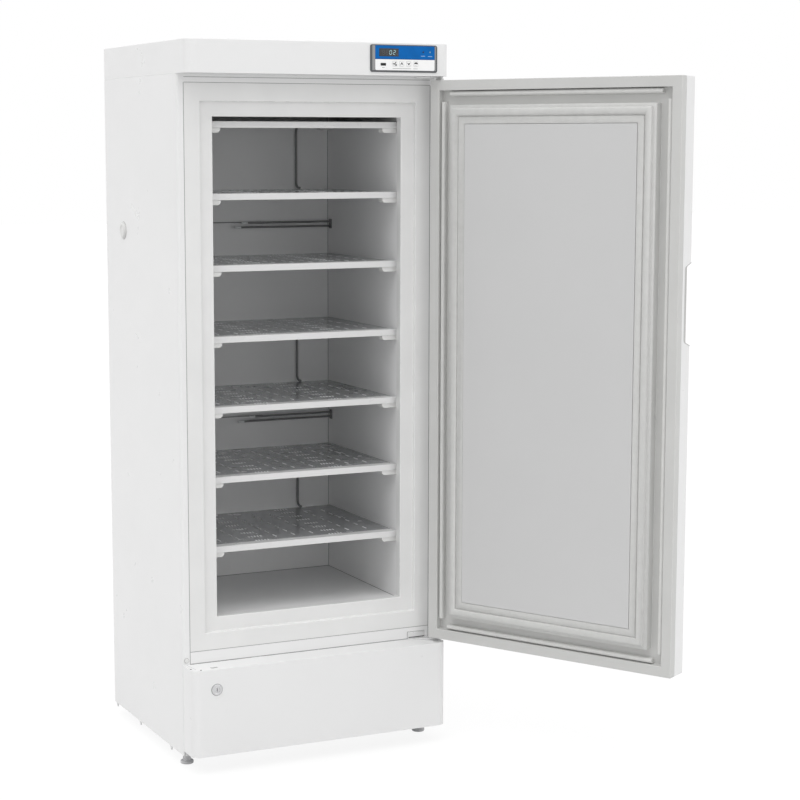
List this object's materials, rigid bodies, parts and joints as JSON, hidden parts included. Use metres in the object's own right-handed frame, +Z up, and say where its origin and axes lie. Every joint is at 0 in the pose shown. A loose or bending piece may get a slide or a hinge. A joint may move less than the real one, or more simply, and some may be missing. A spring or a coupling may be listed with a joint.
{
  "type": "upright medical freezer",
  "caption": "Upright laboratory freezer with one hinged door, slotted cold-plate shelves, a control module in its top cap and a keyed door bolt in its base.",
  "frame": {"origin": "on the floor, on the cabinet's centre line, in the plane of the front frame that the door closes against", "axes": "+X to the right seen from the front, +Y to the back, +Z up"},
  "size_m": [0.9889, 1.1164, 1.668],
  "materials": {
    "cabinet_paint": "semi-gloss powder coat",
    "liner_paint": "satin enamel",
    "panel_paint": "satin, lightly textured",
    "bar_paint": "semi-gloss",
    "galvanised": "galvanised",
    "hinge_steel": "nickel plated",
    "chrome": "polished",
    "frame_plastic": "satin moulded",
    "door_plastic": "satin moulded",
    "handle_plastic": "satin moulded",
    "white_plastic": "satin moulded",
    "foam": "rigid polyurethane foam",
    "seal_rubber": "soft grey",
    "strip_rubber": "soft grey",
    "cold_plate": "mill finish",
    "tube_metal": "satin",
    "module_dark": "satin moulded",
    "overlay_film": "printed film",
    "display_window": "gloss",
    "key_film": "printed film",
    "circuit_board": "solder mask",
    "foot_plastic": "moulded",
    "roller_plastic": "moulded",
    "compressor_paint": "gloss enamel",
    "condenser_paint": "matt enamel",
    "fan_plastic": "moulded",
    "copper": "drawn tube",
    "grille_paint": "matt powder coat",
    "inlet_plastic": "moulded"
  },
  "bodies": {
    "cabinet": {"left_side_panel": "cabinet_paint", "right_side_panel": "cabinet_paint", "front_rails": "cabinet_paint", "top_cap": "cabinet_paint", "base_panel": "cabinet_paint", "inner_liner": "liner_paint", "shelf_bars": "bar_paint", "back_panel": "galvanised", "deck_plate": "galvanised", "base_tray": "galvanised", "roller_brackets": "galvanised", "top_hinge_plate": "hinge_steel", "bottom_hinge_plate": "hinge_steel", "hinge_pins": "hinge_steel", "lock_housing": "chrome", "usb_port": "chrome", "door_frame": "frame_plastic", "shelf_supports": "white_plastic", "port_sleeve": "white_plastic", "hinge_hole_plug": "white_plastic", "cabinet_foam": "foam", "shelf_1": "cold_plate", "shelf_2": "cold_plate", "shelf_3": "cold_plate", "shelf_4": "cold_plate", "shelf_5": "cold_plate", "shelf_6": "cold_plate", "shelf_7": "cold_plate", "riser_tubes": "tube_metal", "sensor_probes": "tube_metal", "control_bezel": "module_dark", "control_overlay": "overlay_film", "display_module": "display_window", "controller_board": "circuit_board", "compressor": "compressor_paint", "condenser": "condenser_paint", "fan_motor": "condenser_paint", "refrigerant_pipes": "copper", "rear_grille": "grille_paint", "power_inlet": "inlet_plastic"},
    "door": {"door_skin": "cabinet_paint", "door_foam": "foam", "door_liner": "door_plastic", "door_gasket": "seal_rubber", "seal_strips": "strip_rubber", "door_inner_panel": "panel_paint", "handle_cup": "handle_plastic", "hinge_bushes": "white_plastic"},
    "lock_core": {"lock_cylinder": "chrome"},
    "bolt": {"lock_bolt": "chrome"},
    "set_key": {"key_set": "key_film"},
    "up_key": {"key_up": "key_film"},
    "down_key": {"key_down": "key_film"},
    "alarm_key": {"key_alarm": "key_film"},
    "fan": {"fan_blade": "fan_plastic"},
    "left_wheel": {"left_roller": "roller_plastic"},
    "right_wheel": {"right_roller": "roller_plastic"},
    "left_levelling_foot": {"left_foot": "foot_plastic"},
    "right_levelling_foot": {"right_foot": "foot_plastic"},
    "plug": {"port_plug": "white_plastic"}
  },
  "joints": [
    {"name": "door_swing", "type": "hinge", "parent": "cabinet", "child": "door", "pos_m": [0.317, -0.0305, 0.92], "axis": [0, 0, 1], "range_deg": [-119, 6]},
    {"name": "lock_turn", "type": "hinge", "parent": "cabinet", "child": "lock_core", "pos_m": [-0.267, -0.06, 0.1985], "axis": [0, -1, 0], "range_deg": [0, 90]},
    {"name": "bolt_slide", "type": "slide", "parent": "cabinet", "child": "bolt", "axis": [0, 0, 1], "range_m": [0, 0.018]},
    {"name": "set_press", "type": "slide", "parent": "cabinet", "child": "set_key", "axis": [0, 1, 0], "range_m": [0, 0.0005], "stiffness_N_per_m": 400},
    {"name": "up_press", "type": "slide", "parent": "cabinet", "child": "up_key", "axis": [0, 1, 0], "range_m": [0, 0.0005], "stiffness_N_per_m": 400},
    {"name": "down_press", "type": "slide", "parent": "cabinet", "child": "down_key", "axis": [0, 1, 0], "range_m": [0, 0.0005], "stiffness_N_per_m": 400},
    {"name": "alarm_press", "type": "slide", "parent": "cabinet", "child": "alarm_key", "axis": [0, 1, 0], "range_m": [0, 0.0005], "stiffness_N_per_m": 400},
    {"name": "fan_spin", "type": "hinge", "parent": "cabinet", "child": "fan", "pos_m": [0.12, 0.342, 0.107], "axis": [0, 1, 0], "continuous": true},
    {"name": "left_roll", "type": "hinge", "parent": "cabinet", "child": "left_wheel", "pos_m": [-0.245, 0.44, 0.013], "axis": [1, 0, 0], "continuous": true},
    {"name": "right_roll", "type": "hinge", "parent": "cabinet", "child": "right_wheel", "pos_m": [0.245, 0.44, 0.013], "axis": [1, 0, 0], "continuous": true},
    {"name": "left_foot_turn", "type": "hinge", "parent": "cabinet", "child": "left_levelling_foot", "pos_m": [-0.303, 0.042, 0.01], "axis": [0, 0, 1], "continuous": true},
    {"name": "right_foot_turn", "type": "hinge", "parent": "cabinet", "child": "right_levelling_foot", "pos_m": [0.303, 0.042, 0.01], "axis": [0, 0, 1], "continuous": true},
    {"name": "plug_slide", "type": "slide", "parent": "cabinet", "child": "plug", "axis": [-1, 0, 0], "range_m": [0, 0.05]}
  ],
  "couplings": [
    {"joint": "lock_turn", "follows": "bolt_slide", "rad_per_m": 87.266}
  ]
}
